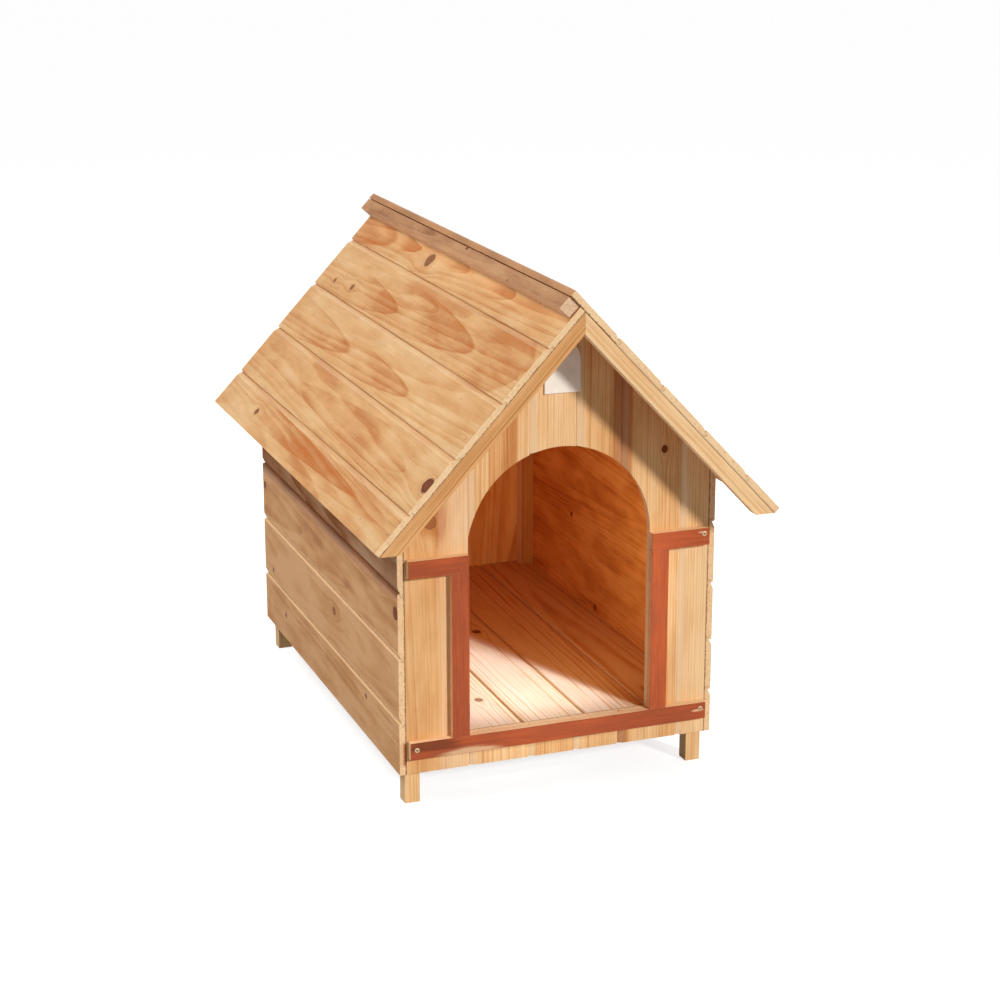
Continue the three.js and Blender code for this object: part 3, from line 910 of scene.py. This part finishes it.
# Lines of nails across the boards, in millimetres along the grain: over the posts and the gable
# battens at the front and the rear, and on the roof over the barge battens too.
FRONT_LINE = -334
REAR_LINE = 340
BARGE_LINE = 429
WALL_LINES = (FRONT_LINE, REAR_LINE)
ROOF_LINES = (-BARGE_LINE, FRONT_LINE, REAR_LINE, BARGE_LINE)
NAILED = [
    ("roof_left_board", Y, LEFT_SLOPE, ROOF_LINES),
    ("roof_right_board", Y, RIGHT_SLOPE, ROOF_LINES),
    ("left_wall_board", Y, -X, WALL_LINES),
    ("right_wall_board", Y, X, WALL_LINES),
]
NAIL_SPREAD = 0.45                # of a board's half width, either way from its middle
NAIL_SHIFT = 3                    # in millimetres, either way from the line


def lathe(sculpt, centre, outward, head, rings, sides):
    """A turned solid about outward, head wide. The first and the last ring are closed by a point
    on the axis."""
    sideways = outward.orthogonal().normalized()
    upward = outward.cross(sideways)
    loops = []
    for share, height, lobes in rings:
        loop = []
        for i in range(sides):
            angle = i / sides * math.tau
            reach = share * head / 2 * (1 + lobes * math.cos(4 * angle))
            flat = sideways * math.cos(angle) + upward * math.sin(angle)
            loop.append(sculpt.verts.new(centre + flat * reach + outward * (height * MM)))
        loops.append(loop)
    for outer, inner in zip(loops, loops[1:]):
        for i in range(sides):
            j = (i + 1) % sides
            sculpt.faces.new((outer[i], outer[j], inner[j], inner[i]))
    for loop, (_, height, _) in ((loops[0], rings[0]), (loops[-1], rings[-1])):
        tip = sculpt.verts.new(centre + outward * (height * MM))
        for i in range(sides):
            sculpt.faces.new((loop[i], loop[(i + 1) % sides], tip))


def build_screws(sculpt):
    """Countersunk heads with a cross recess, a little proud of the trim."""
    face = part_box("trim_sill")[0].y
    for x, z in SCREWS:
        lathe(sculpt, Vector((x * MM, face, z * MM)), -Y, SCREW_HEAD, SCREW_RINGS, sides=24)


def build_nails(sculpt):
    """Small domed heads where the boards cross the battens and posts behind them."""
    draw = chance("nails")
    for stem, along, outward, lines in NAILED:
        for name in sorted(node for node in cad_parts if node.startswith(stem)):
            board = Board(name, along, outward)
            for v in lines:
                u = draw.uniform(-NAIL_SPREAD, NAIL_SPREAD) * board.half_width * MM
                shift = draw.uniform(-NAIL_SHIFT, NAIL_SHIFT) * MM
                centre = board.origin + board.across * u + board.along * (v * MM + shift)
                lathe(sculpt, centre, board.outward, NAIL_HEAD, NAIL_RINGS, sides=12)


def metal(name, light, dull, grain):
    """Metal with dull blotches as wide as the grain."""
    graph = Graph(bpy.data.materials.new(name))
    cloud = graph.noise(graph.place(), grain, detail=3.0, roughness=0.6)
    color = graph.ramp(cloud, [(0.35, light), (0.7, dull)])
    return graph.finish(color, graph.spread(cloud, 0.32, 0.6), cloud, 0.05 * MM, sheen=0.5,
                        metallic=0.75, relief=0.6)


ZINC = metal("zinc_screw", linear(206, 186, 148), linear(140, 120, 92), 0.8 * MM)
DULL_STEEL = metal("dull_nail", linear(150, 118, 88), linear(104, 76, 54), 0.6 * MM)
new_piece("trim_screws", build_screws).data.materials.append(ZINC)
new_piece("board_nails", build_nails).data.materials.append(DULL_STEEL)

# ---------------------------------------------------------------- floor, backdrop, lamps, camera


def unlit_rays(graph):
    """1 for the rays that should meet a white studio: the camera's, and through metal or glass."""
    rays = graph.node("LightPath").outputs
    direct = graph.math("MAXIMUM", rays["Is Camera Ray"], rays["Is Glossy Ray"])
    return graph.math("MAXIMUM", direct, rays["Is Transmission Ray"])


def stage_floor():
    """A wide grey floor that the lamps light, lifted to white for the camera."""
    graph = Graph(bpy.data.materials.new("pale_floor"))
    lit = graph.result("BsdfDiffuse", {"Color": (FLOOR_ALBEDO, FLOOR_ALBEDO, FLOOR_ALBEDO, 1)})
    strength = graph.times(unlit_rays(graph), FLOOR_LIFT)
    lift = graph.result("Emission", {"Color": WHITE, "Strength": strength})
    material = graph.surface(graph.result("AddShader", {0: lit, 1: lift}))
    mesh = bpy.data.meshes.new("studio_floor")
    corners = [(-1, -1), (1, -1), (1, 1), (-1, 1)]
    mesh.from_pydata([(x * FLOOR_REACH, y * FLOOR_REACH, 0) for x, y in corners], [], [(0, 1, 2, 3)])
    mesh.materials.append(material)
    floor = bpy.data.objects.new("studio_floor", mesh)
    bpy.context.scene.collection.objects.link(floor)


def world_light():
    """White surroundings for the camera, and a weak white fill for the object."""
    world = bpy.data.worlds.new("studio")
    bpy.context.scene.world = world
    graph = Graph(world)
    fill = graph.result("Background", {"Color": WHITE, "Strength": FILL})
    white = graph.result("Background", {"Color": WHITE, "Strength": 1.0})
    pick = graph.result("MixShader", {"Fac": unlit_rays(graph), 1: fill, 2: white})
    graph.surface(pick, "OutputWorld")


def lamp(name, kind, place, aim, energy):
    light = bpy.data.lights.new(name, kind)
    light.energy = energy
    item = bpy.data.objects.new(name, light)
    item.location = place
    item.rotation_euler = (aim - place).to_track_quat("-Z", "Y").to_euler()
    bpy.context.scene.collection.objects.link(item)
    return light


def studio():
    key = lamp("key_light", "SUN", AIM + KEY_DISTANCE * KEY_FROM.normalized(), AIM, KEY)
    key.angle = KEY_SOFTNESS
    for number, (place, size, watts) in enumerate(SOFT_BOXES, 1):
        box = lamp(f"soft_box_{number}", "AREA", place, AIM, watts)
        box.shape = "DISK"
        box.size = size
    doorway = Vector((SNOOT_AIM_X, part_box("front_board_1")[0].y, SNOOT_HEIGHT))
    snoot_place = doorway + SNOOT_DISTANCE * SNOOT_FROM.normalized()
    snoot = lamp("doorway_light", "SPOT", snoot_place, doorway, SNOOT)
    snoot.spot_size = 2 * math.atan(SNOOT_BEAM / SNOOT_DISTANCE)
    snoot.spot_blend = SNOOT_BLEND
    snoot.shadow_soft_size = SNOOT_RADIUS
    fill_place = doorway + CABIN_FILL_SHIFT
    fill = lamp("cabin_light", "AREA", fill_place, fill_place + Y, CABIN_FILL)
    fill.shape = "ELLIPSE"
    fill.size, fill.size_y = CABIN_FILL_SIZE


def camera():
    data = bpy.data.cameras.new("photo_view")
    data.sensor_fit = "HORIZONTAL"
    data.sensor_width = SENSOR
    data.lens = CAMERA_FOCAL / FRAME_WIDTH * SENSOR
    item = bpy.data.objects.new("photo_view", data)
    yaw = Matrix.Rotation(-CAMERA_YAW, 4, "Z")
    pitch = Matrix.Rotation(math.pi / 2 - CAMERA_PITCH, 4, "X")
    roll = Matrix.Rotation(CAMERA_ROLL, 4, "Z")
    item.matrix_world = Matrix.Translation(CAMERA_PLACE) @ yaw @ pitch @ roll
    bpy.context.scene.collection.objects.link(item)
    bpy.context.scene.camera = item


stage_floor()
world_light()
studio()
camera()
bpy.context.scene.view_settings.view_transform = "Standard"
